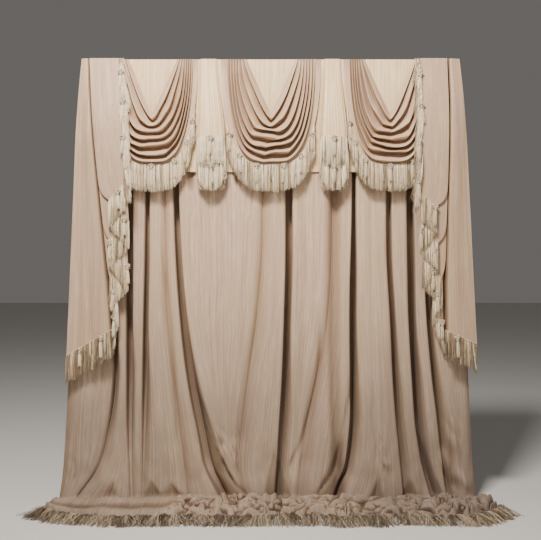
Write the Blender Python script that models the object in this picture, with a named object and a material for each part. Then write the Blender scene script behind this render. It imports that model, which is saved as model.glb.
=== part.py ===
"""Swag and tail drape with a full-length curtain, metres, +Z up.

The origin is the middle of the top edge. +X is to the right seen from the front,
the front faces -Y, and the floor that the curtain puddles on is at z = -DROP.
"""
import math

import bpy
import bmesh
import numpy as np

# Driving dimensions
DROP = 3.000            # top edge over the floor
CLOTH = 0.0016          # silk with its turned hems, one sheet
GAP = 0.0004            # between pieces that touch
FRINGE_DROP = 0.184     # hanging length of the bullion fringe with its heading
HEADING = 0.014         # height of the fringe's woven heading
STRAND = 0.0040         # thickness of a lock at its root
SEAM = 0.0007           # between a cloth's hem and the heading of its fringe
LOCK_TAPER = 0.55       # a lock's tip to its root
MITRE_EASE = 0.1        # keeps the mitre of a sharp fold short
STEP = CLOTH + GAP      # from one sheet's middle to the next where they touch

# Colours of the silk and its fringe, linear
SILK = (0.52, 0.40, 0.33, 1.0)
PALE_SILK = (0.66, 0.56, 0.47, 1.0)
FRINGE = (0.66, 0.57, 0.45, 1.0)
FLOOR_FRINGE = (0.40, 0.32, 0.23, 1.0)

# Pelmet
PELMET_HALF = 1.190
PELMET_DROP = 0.766
PELMET_Y = -CLOTH / 2

# Curtain folds: depth of the crease behind the crests, then its x at each level
LEVELS = (0.0, -0.62, -0.96, -1.37, -1.78, -2.18, -2.52, -2.80, -2.97)
CREASES = (
    # depth   x at each of LEVELS
    (0.020, -1.200, -1.230, -1.262, -1.310, -1.355, -1.380, -1.395, -1.405, -1.420),
    (0.055, -1.070, -1.078, -1.080, -1.073, -1.066, -1.059, -1.100, -1.182, -1.298),
    (0.060, -0.960, -0.962, -0.964, -0.964, -0.964, -0.961, -0.957, -0.943, -0.930),
    (0.060, -0.840, -0.842, -0.843, -0.846, -0.852, -0.855, -0.858, -0.858, -0.856),
    (0.030, -0.735, -0.730, -0.725, -0.721, -0.706, -0.660, -0.614, -0.569, -0.548),
    (0.110, -0.640, -0.650, -0.645, -0.627, -0.592, -0.539, -0.470, -0.402, -0.310),
    (0.035, -0.060, -0.054, -0.052, -0.060, -0.097, -0.155, -0.195, -0.210, -0.170),
    (0.120, 0.120, 0.124, 0.126, 0.126, 0.115, 0.099, 0.077, 0.058, 0.044),
    (0.045, 0.430, 0.428, 0.426, 0.419, 0.389, 0.313, 0.240, 0.200, 0.180),
    (0.130, 0.570, 0.572, 0.572, 0.569, 0.564, 0.564, 0.555, 0.507, 0.439),
    (0.050, 0.805, 0.808, 0.810, 0.814, 0.837, 0.853, 0.875, 0.899, 0.909),
    (0.110, 0.955, 0.957, 0.959, 0.964, 0.970, 0.990, 1.012, 1.058, 1.104),
    (0.045, 1.050, 1.056, 1.062, 1.073, 1.087, 1.119, 1.155, 1.180, 1.202),
    (0.020, 1.200, 1.230, 1.262, 1.305, 1.335, 1.352, 1.362, 1.372, 1.380),
)
PANEL_STEPS = (0.0, 0.09, 0.34, 0.66, 0.91)    # columns from one crease to the next
CREASE_POWER = 2.6             # over 2 the cloth turns into a crease more suddenly
# Curtain in profile: y of the crests at each of LEVELS, share of the full crease depth
CREST_Y = (GAP + CLOTH / 2, 0.010, 0.018, 0.016, 0.008, -0.004, -0.022, -0.048, -0.085)
CREASE_SHARE = (0.35, 0.75, 0.95, 1.0, 1.0, 1.0, 1.0, 0.95, 0.65)
# The puddle: how far each row has gone from the wall part to the hem, and its height
PUDDLE_ROWS = (
    # way   low    crumple
    (0.20, 0.012, 0.040),
    (0.42, 0.006, 0.055),
    (0.64, 0.010, 0.050),
    (0.84, 0.016, 0.030),
    (0.95, 0.000, 0.000),
    (1.00, 0.000, 0.000),
)
PUDDLE_BACK = -0.030           # the heaped cloth starts no further back
CRUMPLES = ((0.30, 13.0, 2.1), (0.20, 29.0, -1.7))     # height, waves along x, shift by row
CRUMPLE_MIDDLE = 0.5
ROLL_START = -0.55             # left of here the heaped cloth becomes a smooth roll
ROLL_WAY = 0.25
ROLL_HEIGHTS = (0.55, 0.55, 0.55, 1.0, 1.0, 1.0)       # its height in each row
HEM_Y = -0.345
HEM_HALF = 1.482
HEM_MIDDLE = -0.008
HEM_CORNER_Y = -0.150
HEM_CORNER_POWER = 14          # how late the hem turns back at its ends
HEM_WAVES = ((0.012, 9.0, 0.0), (0.008, 23.0, 1.0))    # depth, waves along x, start
FLOOR_LOCK_PITCH = 0.075
FLOOR_LOCK_LEAN = 0.5          # sideways, at the hem's ends
FLOOR_LOCK_POWER = 9
FLOOR_LOCK_UNEVEN = 0.07

# Swags: x of the axis, half width at the top
SWAGS = (
    # name     axis    half   fringe's upper ends
    ("left", -0.800, 0.308, -0.330),
    ("centre", 0.003, 0.340, -0.430),
    ("right", 0.806, 0.308, -0.330),
)
SWAG_PLEATS = 7
SWAG_STEPS = 4                 # rows in a pleat
SWAG_COLUMNS = 12
BAND_ROWS = (0.93, 1.0)        # rows of the plain band below the pleats
V_HALF = 0.165                 # upper edge, half its width at the top
V_DROP = 0.405
V_ROUND = 1.05                 # 1 for a straight V, more for a rounder one
HEM_ROUND = 3.4
HEM_SQUARE = 0.5               # under 1 flattens the bottom of a fold
V_TO_HEM = 1.8                 # how soon below the V the folds are shaped like the hem
COLUMN_CROWD = 1.6             # columns crowd towards the bottom of the lower folds
PLEAT_LEAN = 0.5               # how far a pleat hangs over the next, in pleats
SWAG_DROP = 0.722
LAST_FOLD = 0.86               # where the pleats end and the plain band begins
LAST_FOLD_HALF = 0.85          # its half width, as a share of the swag's
SWAG_BULGE = 0.058
BULGE_LEAST = 0.35             # share of it at the upper edge
PLEAT_DEPTH = 0.026            # at the middle
PLEAT_DEPTH_TOP = 0.006        # gathered at the top
PLEAT_FADE = 1.2               # how soon it narrows towards the top
SWAG_LOCK_PITCH = 0.030
SWAG_LOCK_FAN = 0.10           # sideways, at the swag's sides
SWAG_BACK = PELMET_Y - STEP
TAIL_TOP = SWAG_BACK - PLEAT_DEPTH_TOP - STEP

# Trumpets: x of the axis at the top and at the hem, half widths, hem heights
TRUMPETS = (
    # name    top x   hem x   top half  hem half
    ("left", -0.422, -0.400, 0.058, 0.094),
    ("right", 0.420, 0.428, 0.056, 0.090),
)
TRUMPET_FRONT = -0.540         # hem height at the front
TRUMPET_BACK = -0.716          # hem height at the back
TRUMPET_HEM_TURN = 1.25        # the hem is level across the front
TRUMPET_WRAP = 0.955           # how far round it reaches, open at the back
TRUMPET_SQUARE = 0.75          # under 1 makes its section squarer
TRUMPET_DEEP_TOP = 0.0050      # half depths
TRUMPET_DEEP_HEM = 0.034
TRUMPET_FORWARD = 0.006
TRUMPET_COLUMNS = 16
TRUMPET_ROWS = 5
TRUMPET_LOCK_PITCH = 0.026

# Tails: turning points of the pleated cloth, from the inner edge outwards
TAIL_LEFT = (
    # top x   hem x   hem z
    (-1.018, -0.967, -0.848),
    (-1.225, -1.073, -0.968),
    (-1.014, -0.950, -1.113),
    (-1.226, -1.078, -1.234),
    (-1.016, -0.960, -1.400),
    (-1.228, -1.076, -1.501),
    (-1.040, -1.036, -1.636),
)
TAIL_LEFT_PANEL = (
    (-1.150, -1.069, -1.839),
    (-1.281, -1.374, -2.012),
)
TAIL_RIGHT = (
    (1.018, 1.002, -0.928),
    (1.195, 1.102, -1.008),
    (1.016, 1.005, -1.153),
    (1.196, 1.120, -1.254),
    (1.018, 1.028, -1.380),
    (1.198, 1.149, -1.487),
    (1.060, 1.100, -1.636),
)
TAIL_RIGHT_PANEL = (
    (1.150, 1.184, -1.846),
    (1.283, 1.389, -1.934),
)
TAIL_ROWS = (0.0, 0.07, 0.17, 0.32, 0.52, 0.76, 1.0)   # shares of each column's length
TAIL_PITCH_TOP = 0.0034        # from one layer of a tail to the next
TAIL_PITCH = 0.0082
TAIL_OPEN = 0.5                # height by which the layers have opened
# Back layer of a tail: y at each height, in front of the swag's outer pleats
TAIL_BACK = ((0.0, TAIL_TOP), (-0.10, -0.029), (-0.25, -0.050), (-0.45, -0.066), (-0.60, -0.070),
             (-0.80, -0.064), (-1.30, -0.050), (-2.20, -0.038))
CASCADE_LOCK_PITCH = 0.036
TAIL_LOCK_PITCH = 0.032
TAIL_LOCK_LEAN = 0.03
EDGE_LOCK_PITCH = 0.090
EDGE_LOCK_LEAN = 0.36


def clear_scene():
    for old in list(bpy.data.objects):
        bpy.data.objects.remove(old, do_unlink=True)


def material(name, colour, roughness):
    made = bpy.data.materials.new(name)
    made.use_nodes = True
    shader = made.node_tree.nodes["Principled BSDF"]
    shader.inputs["Base Color"].default_value = colour
    shader.inputs["Roughness"].default_value = roughness
    shader.inputs["Metallic"].default_value = 0.0
    return made


def add_object(name, points, faces, colour, roughness=0.5):
    mesh = bpy.data.meshes.new(name)
    mesh.from_pydata([tuple(p) for p in points], [], faces)
    shape = bmesh.new()
    shape.from_mesh(mesh)
    bmesh.ops.recalc_face_normals(shape, faces=shape.faces)
    shape.to_mesh(mesh)
    shape.free()
    mesh.materials.append(material(name + " finish", colour, roughness))
    mesh.shade_smooth()
    made = bpy.data.objects.new(name, mesh)
    bpy.context.collection.objects.link(made)
    return made


def lerp(low, high, share):
    return low + (high - low) * share


def smooth(share):
    share = min(1.0, max(0.0, share))
    return share * share * (3.0 - 2.0 * share)


def unit(vector):
    vector = np.asarray(vector, float)
    return vector / np.linalg.norm(vector)


def sheet_offsets(grid):
    """From each point of a grid half the cloth's thickness out, mitred where the cloth folds."""
    face = np.cross(grid[1:, 1:] - grid[:-1, :-1], grid[1:, :-1] - grid[:-1, 1:])
    face /= np.linalg.norm(face, axis=2, keepdims=True)
    face = np.pad(face, ((1, 1), (1, 1), (0, 0)), mode="edge")
    around = np.stack([face[:-1, :-1], face[1:, :-1], face[:-1, 1:], face[1:, 1:]], axis=2)
    spread = np.einsum("rcki,rckj->rcij", around, around) + MITRE_EASE * np.eye(3)
    push = around.sum(axis=2) * CLOTH / 2
    return np.linalg.solve(spread, push[..., None])[..., 0]


def add_sheet(name, grid, colour):
    """A closed sheet of the cloth's thickness around a grid of points."""
    rows, columns = grid.shape[:2]
    out = sheet_offsets(grid)
    count = rows * columns
    points = np.concatenate([(grid + out).reshape(-1, 3), (grid - out).reshape(-1, 3)])
    faces = []
    for r in range(rows - 1):
        for c in range(columns - 1):
            a = r * columns + c
            b, low_a, low_b = a + 1, a + columns, a + columns + 1
            falling = np.linalg.norm(grid[r, c] - grid[r + 1, c + 1])
            rising = np.linalg.norm(grid[r, c + 1] - grid[r + 1, c])
            if falling <= rising:
                halves = ((a, b, low_b), (a, low_b, low_a))
            else:
                halves = ((a, b, low_a), (b, low_b, low_a))
            for half in halves:
                faces.append(half)
                faces.append(tuple(count + i for i in reversed(half)))
    rim = [c for c in range(columns)]
    rim += [r * columns + columns - 1 for r in range(1, rows)]
    rim += [(rows - 1) * columns + c for c in range(columns - 2, -1, -1)]
    rim += [r * columns for r in range(rows - 2, 0, -1)]
    for i, a in enumerate(rim):
        b = rim[(i + 1) % len(rim)]
        faces.append((a, b, count + b, count + a))
    return add_object(name, points, faces, colour)


def add_fringe(name, edge, out, front, drops, locks, colour):
    """A comb: a narrow heading along a cloth's edge with a lock under each stretch.

    edge, out and front hold a point and two directions for each place on the edge,
    drops the way from root to tip for each stretch, locks whether it has a lock.
    """
    half = STRAND / 2
    ring = []
    for point, away, face in zip(edge, out, front):
        top = point + away * SEAM
        low = point + away * (SEAM + HEADING)
        ring.append((top - face * half, top + face * half, low + face * half, low - face * half))
    points = [corner for corners in ring for corner in corners]
    faces = [(0, 1, 2, 3)]
    last = 4 * (len(ring) - 1)
    faces.append((last + 3, last + 2, last + 1, last))
    for i, drop in enumerate(drops):
        a, b = 4 * i, 4 * i + 4
        faces.append((a, a + 1, b + 1, b))
        faces.append((a + 1, a + 2, b + 2, b + 1))
        faces.append((a + 3, a, b, b + 3))
        root = (a + 2, a + 3, b + 3, b + 2)
        if not locks[i]:
            faces.append(root)
            continue
        middle = sum(points[j] for j in root) / 4
        tip = len(points)
        points += [middle + (points[j] - middle) * LOCK_TAPER + drop for j in root]
        for j in range(4):
            k = (j + 1) % 4
            faces.append((root[j], root[k], tip + k, tip + j))
        faces.append((tip, tip + 1, tip + 2, tip + 3))
    return add_object(name, points, faces, colour, 0.8)


def split_edge(points, pitch):
    """The points of an edge with each stretch cut into pieces about a pitch long."""
    made = [points[0]]
    for a, b in zip(points[:-1], points[1:]):
        pieces = max(1, round(np.linalg.norm(b - a) / pitch))
        made += [lerp(a, b, i / pieces) for i in range(1, pieces + 1)]
    return made


def hanging_fringe(name, edge, pitch, lean=0.0, fan=0.0, axis=0.0, shortest=0.008):
    """Fringe below a hem: locks lean sideways, and more with their distance from axis."""
    points = split_edge(edge, pitch)
    down = np.array((0.0, 0.0, -1.0))
    runs = []
    away = []
    for i in range(len(points)):
        run = unit(points[min(i + 1, len(points) - 1)] - points[max(i - 1, 0)])
        runs.append(run)
        away.append(unit(unit(down - run * np.dot(run, down)) + down))
    away = [unit(a + b + c) for a, b, c in zip([away[0]] + away, away, away[1:] + [away[-1]])]
    faces_out = [unit(np.cross(run, a)) for run, a in zip(runs, away)]
    drops = []
    locks = []
    for a, b in zip(points[:-1], points[1:]):
        middle = (a + b) / 2
        way = unit((lean + fan * (middle[0] - axis), 0.0, -1.0))
        drops.append(way * (FRINGE_DROP - HEADING))
        locks.append(np.linalg.norm(b - a) > shortest)
    return add_fringe(name, points, away, faces_out, drops, locks, FRINGE)


def curtain_section(z_share):
    """Row of the curtain at a place in LEVELS: x, crest y and creases."""
    low = min(int(z_share), len(LEVELS) - 2)
    share = z_share - low
    xs = [lerp(row[1 + low], row[2 + low], share) for row in CREASES]
    crest = lerp(CREST_Y[low], CREST_Y[low + 1], share)
    part = lerp(CREASE_SHARE[low], CREASE_SHARE[low + 1], share)
    row = []
    for k in range(len(CREASES) - 1):
        for u in PANEL_STEPS:
            row.append(curtain_point(xs, crest, part, k, u))
    row.append(curtain_point(xs, crest, part, len(CREASES) - 2, 1.0))
    return row, lerp(LEVELS[low], LEVELS[low + 1], share)


def crease_shape(u):
    """1 in the crease, 0 on the crest, steep beside the crease."""
    if u >= 0.5:
        return 0.0
    return 1.0 - (1.0 - (1.0 - 2.0 * u) ** CREASE_POWER) ** (1.0 / CREASE_POWER)


def curtain_point(xs, crest, part, k, u):
    x = lerp(xs[k], xs[k + 1], u)
    depth = CREASES[k][0] * crease_shape(u) + CREASES[k + 1][0] * crease_shape(1.0 - u)
    return x, crest + part * depth


def hem_point(share):
    """Hem on the floor, from the left corner round to the right one."""
    x = HEM_MIDDLE + lerp(-HEM_HALF, HEM_HALF, share)
    side = abs(2.0 * share - 1.0)
    y = lerp(HEM_Y, HEM_CORNER_Y, side ** HEM_CORNER_POWER)
    for depth, waves, start in HEM_WAVES:
        y += depth * math.sin(waves * x + start)
    return x, y


def crumple(x, row):
    """Height of the crumpled cloth, 0 to 1; the left end is a smooth roll."""
    heap = CRUMPLE_MIDDLE
    for height, waves, shift in CRUMPLES:
        heap += height * math.sin(waves * x + shift * row)
    roll = smooth((ROLL_START - x) / ROLL_WAY)
    return lerp(max(0.0, heap), ROLL_HEIGHTS[row], roll)


def curtain_grid():
    rows = []
    for level in range(len(LEVELS)):
        section, z = curtain_section(level)
        rows.append([(x, y, z) for x, y in section])
    foot = rows[-1]
    last = len(foot) - 1
    floor = -DROP + CLOTH / 2
    for number, (way, low, high) in enumerate(PUDDLE_ROWS):
        row = []
        for c, (x, y, z) in enumerate(foot):
            hem_x, hem_y = hem_point(c / last)
            here_x = lerp(x, hem_x, way)
            here_y = lerp(min(y, PUDDLE_BACK), hem_y, way)
            row.append((here_x, here_y, floor + low + high * crumple(here_x, number)))
        rows.append(row)
    return np.array(rows)


def make_curtain():
    grid = curtain_grid()
    add_sheet("curtain", grid, SILK)
    edge = split_edge(grid[-1], FLOOR_LOCK_PITCH)
    up = np.array((0.0, 0.0, 1.0))
    out = []
    for point in edge:
        lean = FLOOR_LOCK_LEAN * math.copysign(abs(point[0] / HEM_HALF) ** FLOOR_LOCK_POWER, point[0])
        out.append(unit((lean, -1.0, 0.0)))
    lift = (STRAND - CLOTH) / 2
    edge = [p + up * lift for p in edge]
    drops = []
    for i, (a, b) in enumerate(zip(out[:-1], out[1:])):
        length = (FRINGE_DROP - HEADING) * (1.0 + FLOOR_LOCK_UNEVEN * math.sin(2.3 * i))
        drop = unit(a + b) * length
        drop[2] = -(1.0 - LOCK_TAPER) * STRAND / 2
        drops.append(drop)
    add_fringe("curtain_fringe", edge, out, [up] * len(edge), drops, [True] * len(drops),
               FLOOR_FRINGE)


def make_pelmet():
    edge = [(-PELMET_HALF, PELMET_Y, 0.0), (PELMET_HALF, PELMET_Y, 0.0)]
    grid = np.array([edge, [(x, y, -PELMET_DROP) for x, y, z in edge]])
    add_sheet("pelmet", grid, PALE_SILK)


def swag_point(axis, half, side, across):
    """across runs from -1 to 1 along a fold, side from 0 at the upper edge to 1."""
    pleats = min(side / LAST_FOLD, 1.0)
    phase = pleats * SWAG_PLEATS
    turn = phase - math.floor(phase + 1e-9)
    wave = (1.0 - math.cos(2.0 * math.pi * turn)) / 2
    if side > LAST_FOLD:
        wave = 0.0
    v = side + PLEAT_LEAN * wave / SWAG_PLEATS * LAST_FOLD
    below = smooth(v * V_TO_HEM)
    round_off = lerp(V_ROUND, HEM_ROUND, below)
    square_off = lerp(1.0, HEM_SQUARE, below)
    angle = math.pi / 2 * abs(across) ** lerp(1.0, COLUMN_CROWD, v)
    q = math.copysign(math.sin(angle) ** (2.0 / round_off), across)
    ease = max(0.0, math.cos(angle)) ** (2.0 * square_off)
    if v < LAST_FOLD:
        width = lerp(V_HALF, LAST_FOLD_HALF * half, v / LAST_FOLD)
    else:
        width = lerp(LAST_FOLD_HALF * half, half, (v - LAST_FOLD) / (1.0 - LAST_FOLD))
    drop = lerp(V_DROP, SWAG_DROP, v)
    fullness = math.sin(math.pi * min(1.0, 0.1 + 0.75 * side))
    bulge = SWAG_BULGE * ease * lerp(BULGE_LEAST, 1.0, fullness)
    depth = lerp(PLEAT_DEPTH_TOP, PLEAT_DEPTH, ease ** PLEAT_FADE) * wave
    return axis + width * q, SWAG_BACK - bulge - depth, -drop * ease


def swag_grid(axis, half):
    rows = SWAG_PLEATS * SWAG_STEPS
    sides = [LAST_FOLD * i / rows for i in range(rows + 1)]
    sides += BAND_ROWS
    acrosses = [2.0 * c / SWAG_COLUMNS - 1.0 for c in range(SWAG_COLUMNS + 1)]
    return np.array([[swag_point(axis, half, s, a) for a in acrosses] for s in sides])


def make_swags():
    for name, axis, half, fringe_top in SWAGS:
        grid = swag_grid(axis, half)
        add_sheet("swag_" + name, grid, SILK)
        edge = [p for p in grid[-1] if p[2] < fringe_top]
        hanging_fringe("swag_fringe_" + name, edge, SWAG_LOCK_PITCH, fan=SWAG_LOCK_FAN / half,
                       axis=axis)


def trumpet_point(row, share, turn):
    """turn goes round the trumpet from its back seam, -1, over the front, 0, to 1."""
    top_x, hem_x, top_half, hem_half = row[1:]
    front = 0.5 + 0.5 * math.cos(math.pi * turn)
    hem = lerp(TRUMPET_BACK, TRUMPET_FRONT, smooth(TRUMPET_HEM_TURN * front))
    z = hem * share
    open_out = smooth(z / TRUMPET_FRONT)
    half = lerp(top_half, hem_half, open_out)
    deep = lerp(TRUMPET_DEEP_TOP, TRUMPET_DEEP_HEM, open_out)
    angle = math.pi * turn * TRUMPET_WRAP
    side = math.copysign(abs(math.sin(angle)) ** TRUMPET_SQUARE, turn)
    face = math.copysign(abs(math.cos(angle)) ** TRUMPET_SQUARE, math.cos(angle))
    middle = SWAG_BACK - deep - TRUMPET_FORWARD * open_out
    return lerp(top_x, hem_x, open_out) + half * side, middle - deep * face, z


def make_trumpets():
    turns = [2.0 * c / TRUMPET_COLUMNS - 1.0 for c in range(TRUMPET_COLUMNS + 1)]
    for row in TRUMPETS:
        grid = np.array([[trumpet_point(row, r / TRUMPET_ROWS, t) for t in turns]
                         for r in range(TRUMPET_ROWS + 1)])
        add_sheet("trumpet_" + row[0], grid, PALE_SILK)
        hem = grid[-1]
        quarter = TRUMPET_COLUMNS // 4
        hanging_fringe("trumpet_fringe_front_" + row[0], hem[quarter:-quarter], TRUMPET_LOCK_PITCH)
        for label, part in (("a", hem[:quarter]), ("b", hem[-quarter:])):
            hanging_fringe("trumpet_fringe_back_%s_%s" % (row[0], label), part, TRUMPET_LOCK_PITCH)


def tail_back(z):
    heights, ys = zip(*TAIL_BACK[::-1])
    return float(np.interp(z, heights, ys))


def tail_columns(turns, panel):
    """Columns of the pleated tail: top x, hem x, hem z, layer from the front, fold's tip.

    A fold between two layers is three columns: in one layer, at its tip, in the next.
    """
    columns = [(*turns[0], 0.0, 0.0)]
    for k in range(1, len(turns)):
        before, here = turns[k - 1], turns[k]
        layer = k - 1
        columns.append((*[lerp(a, b, 0.5) for a, b in zip(before, here)], layer, 0.0))
        tip = math.copysign(1.0, here[0] - before[0])
        columns.append((*here, layer, 0.0))
        columns.append((*here, layer + 0.5, tip))
        columns.append((*here, layer + 1.0, 0.0))
    last = len(turns) - 1
    stops = [turns[-1], panel[0], panel[1]]
    for before, here in zip(stops[:-1], stops[1:]):
        for share in (0.5, 1.0):
            columns.append((*[lerp(a, b, share) for a, b in zip(before, here)], last, 0.0))
    return columns


def tail_pitch(z):
    return lerp(TAIL_PITCH_TOP, TAIL_PITCH, smooth(-z / TAIL_OPEN))


def tail_front(z, layers):
    return tail_back(z) - layers * tail_pitch(z)


def tail_point(column, layers, share):
    top_x, hem_x, hem_z, layer, tip = column
    z = hem_z * share
    pitch = tail_pitch(z)
    x = lerp(top_x, hem_x, share) + tip * pitch * 0.5
    y = tail_back(z) - (layers - layer) * pitch
    return x, y, z


def make_tails():
    for name, turns, panel in (("left", TAIL_LEFT, TAIL_LEFT_PANEL),
                               ("right", TAIL_RIGHT, TAIL_RIGHT_PANEL)):
        columns = tail_columns(turns, panel)
        layers = len(turns) - 1
        grid = np.array([[tail_point(c, layers, share) for c in columns] for share in TAIL_ROWS])
        add_sheet("tail_" + name, grid, SILK)
        hem = grid[-1]
        inward = -math.copysign(1.0, turns[0][0])
        lean = TAIL_LOCK_LEAN * inward
        hanging_fringe("tail_cascade_fringe_" + name, hem[:-3], CASCADE_LOCK_PITCH, lean)
        hanging_fringe("tail_hem_fringe_" + name, hem[-3:], TAIL_LOCK_PITCH, lean)
        side = split_edge(grid[:, 0], EDGE_LOCK_PITCH)
        out = [np.array((inward, 0.0, 0.0))] * len(side)
        face = [np.array((0.0, -1.0, 0.0))] * len(side)
        fall = unit((EDGE_LOCK_LEAN * inward, 0.0, -1.0)) * (FRINGE_DROP - HEADING)
        drops = []
        for a, b in zip(side[:-1], side[1:]):
            z = (a[2] + b[2]) / 2
            drops.append(fall + (0.0, tail_front(z + fall[2], layers) - tail_front(z, layers), 0.0))
        add_fringe("tail_edge_fringe_" + name, side, out, face, drops, [True] * len(drops), FRINGE)


def main():
    clear_scene()
    make_curtain()
    make_pelmet()
    make_swags()
    make_trumpets()
    make_tails()


main()
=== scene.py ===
"""Looks of the swag and tail drape: watered silk, bullion fringe, tufts and tassels.

Metres, +Z up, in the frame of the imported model: the origin is the middle of the top
edge, the front faces -Y and the floor is at z = -DROP.
"""
import math

import bpy
import numpy as np
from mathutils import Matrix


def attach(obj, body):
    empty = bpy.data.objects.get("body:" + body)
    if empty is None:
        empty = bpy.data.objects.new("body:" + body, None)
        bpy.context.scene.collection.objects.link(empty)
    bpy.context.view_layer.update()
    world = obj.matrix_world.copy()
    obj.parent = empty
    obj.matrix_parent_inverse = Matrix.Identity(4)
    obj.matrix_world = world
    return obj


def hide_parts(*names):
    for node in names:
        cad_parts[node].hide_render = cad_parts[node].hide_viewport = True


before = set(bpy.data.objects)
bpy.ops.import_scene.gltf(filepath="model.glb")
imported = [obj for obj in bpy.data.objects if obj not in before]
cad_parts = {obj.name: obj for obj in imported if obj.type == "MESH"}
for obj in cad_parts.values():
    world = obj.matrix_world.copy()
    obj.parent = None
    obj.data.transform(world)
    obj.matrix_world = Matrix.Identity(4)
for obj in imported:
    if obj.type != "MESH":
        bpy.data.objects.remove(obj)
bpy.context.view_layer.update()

# Sizes shared with the solids
DROP = 3.0
FRINGE_DROP = 0.184
PELMET_HALF = 1.19
PELMET_DROP = 0.766
CLOTH = 0.0016
GAP = 0.0004
STEP = CLOTH + GAP
SWAG_BACK = -CLOTH / 2 - STEP

# Camera: distance and height from the photo's perspective, focal length in pixels
CAMERA_Y = -5.0
CAMERA_Z = -1.434
PHOTO_WIDTH = 541
FOCAL_PIXELS = 734
SENSOR = 36.0


# Small maths on arrays
def lerp(low, high, share):
    return low + (high - low) * share


def clamp(value, low=0.0, high=1.0):
    return np.minimum(high, np.maximum(low, value))


def smooth(share):
    share = clamp(share)
    return share * share * (3.0 - 2.0 * share)


def step_up(value, start, end):
    return smooth((value - start) / (end - start))


def unit(vectors):
    return vectors / np.maximum(1e-12, np.linalg.norm(vectors, axis=-1, keepdims=True))


def noise(x, y, seed):
    """Smooth noise from -1 to 1, with a lattice of one unit."""
    x, y = np.broadcast_arrays(np.asarray(x, float), np.asarray(y, float))
    left, low = np.floor(x), np.floor(y)
    across, up = x - left, y - low
    across = across ** 3 * (across * (across * 6 - 15) + 10)
    up = up ** 3 * (up * (up * 6 - 15) + 10)

    def corner(i, j):
        value = np.sin((left + i) * 127.1 + (low + j) * 311.7 + seed * 74.7) * 43758.5453
        return 2.0 * (value - np.floor(value)) - 1.0

    bottom = lerp(corner(0, 0), corner(1, 0), across)
    top = lerp(corner(0, 1), corner(1, 1), across)
    return lerp(bottom, top, up)


def curve_through(places, values, at):
    """A smooth curve through values at rising places."""
    places, values = np.asarray(places, float), np.asarray(values, float)
    slopes = np.gradient(values, places)
    at = np.clip(at, places[0], places[-1])
    i = np.clip(np.searchsorted(places, at, side="right") - 1, 0, len(places) - 2)
    width = places[i + 1] - places[i]
    t = (at - places[i]) / width
    a, b = values[i], values[i + 1]
    m, n = slopes[i] * width, slopes[i + 1] * width
    t2, t3 = t * t, t * t * t
    return (2 * t3 - 3 * t2 + 1) * a + (t3 - 2 * t2 + t) * m + (3 * t2 - 2 * t3) * b + (t3 - t2) * n


# Materials
class Nodes:
    """A material's node tree, with short calls for the nodes used here."""

    def __init__(self, name):
        self.material = bpy.data.materials.new(name)
        self.material.use_nodes = True
        self.tree = self.material.node_tree
        self.shader = self.tree.nodes["Principled BSDF"]

    def feed(self, socket, value):
        if isinstance(value, bpy.types.NodeSocket):
            self.tree.links.new(value, socket)
        else:
            socket.default_value = value

    def fill(self, sockets, values):
        for key, value in values.items():
            self.feed(sockets[key.replace("_", " ")], value)

    def surface(self, **values):
        self.fill(self.shader.inputs, values)

    def node(self, kind, **inputs):
        made = self.tree.nodes.new(kind)
        self.fill(made.inputs, inputs)
        return made

    def result(self, made, *values):
        for socket, value in zip(made.inputs, values):
            self.feed(socket, value)
        return made.outputs[0]

    def math(self, operation, *values):
        made = self.node("ShaderNodeMath")
        made.operation = operation
        return self.result(made, *values)

    def times(self, a, b):
        return self.math("MULTIPLY", a, b)

    def plus(self, a, b):
        return self.math("ADD", a, b)

    def scaled(self, value, factor, offset):
        return self.math("MULTIPLY_ADD", value, factor, offset)

    def vector(self, x, y, z):
        return self.result(self.node("ShaderNodeCombineXYZ"), x, y, z)

    def noise(self, vector, scale, detail=2.0, roughness=0.5):
        made = self.node("ShaderNodeTexNoise", Vector=vector, Scale=scale, Detail=detail,
                         Roughness=roughness)
        return made.outputs["Fac"]

    def ramp(self, value, *stops):
        made = self.node("ShaderNodeValToRGB")
        self.feed(made.inputs[0], value)
        elements = made.color_ramp.elements
        while len(elements) < len(stops):
            elements.new(0.5)
        for element, (place, colour) in zip(elements, stops):
            element.position = place
            element.color = (*colour, 1.0)
        return made.outputs[0]

    def attribute(self, name, output="Fac"):
        made = self.node("ShaderNodeAttribute")
        made.attribute_name = name
        return made.outputs[output]

    def bump(self, height, strength, distance):
        made = self.node("ShaderNodeBump", Height=height, Strength=strength, Distance=distance)
        self.surface(Normal=made.outputs[0])


# Noises of the watered silk, stretched along its warp
SILK_GRAINS = {
    # name: scale across and along the warp, shift of the seed, detail, roughness
    "drift": (13.0, 1.6, 0.0, 2.0, 0.5),
    "fine drift": (45.0, 10.0, 0.0, 2.0, 0.5),
    "patches": (9.0, 1.8, 9.0, 3.0, 0.5),
    "streaks": (110.0, 1.7, 0.0, 3.0, 0.5),
    "flames": (40.0, 6.5, 5.0, 3.0, 0.6),
    "warmth": (8.0, 1.2, 3.0, 1.0, 0.5),
    "weft": (160.0, 420.0, 0.0, 2.0, 0.5),
}
DRIFT_TURN, FINE_DRIFT_TURN = 20.0, 7.0  # radians by which the drifts move the figure
FIGURE_TURN, FIGURE_POWER = 430.0, 1.5  # radians in a metre, and how narrow its light lines are
FLAME_FLOOR, FLAME_GAIN = 0.5, 4.0
FIGURE_SHARE, STREAK_SHARE, FLAME_SHARE = 0.28, 0.68, 0.36
MIDDLE_TONE = 0.48
SHADE_AT, BODY_AT, LIGHT_AT = 0.12, 0.46, 0.86
# What the darkening and the painted shade in folds leave of red, green and blue, and how far the warmth moves
# them
DARKENING_AND_PAINTED_SHADE = ((0.56, 0.42, 0.0), (0.575, 0.37, 0.09), (0.61, 0.325, -0.09))
SILK_ROUGHNESS, ROUGHNESS_OF_TONE, ROUGHNESS_OF_DARKENING = 0.6, -0.2, 0.15
RIB_PITCH, RIB_SHARE = 0.0016, 0.3


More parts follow.
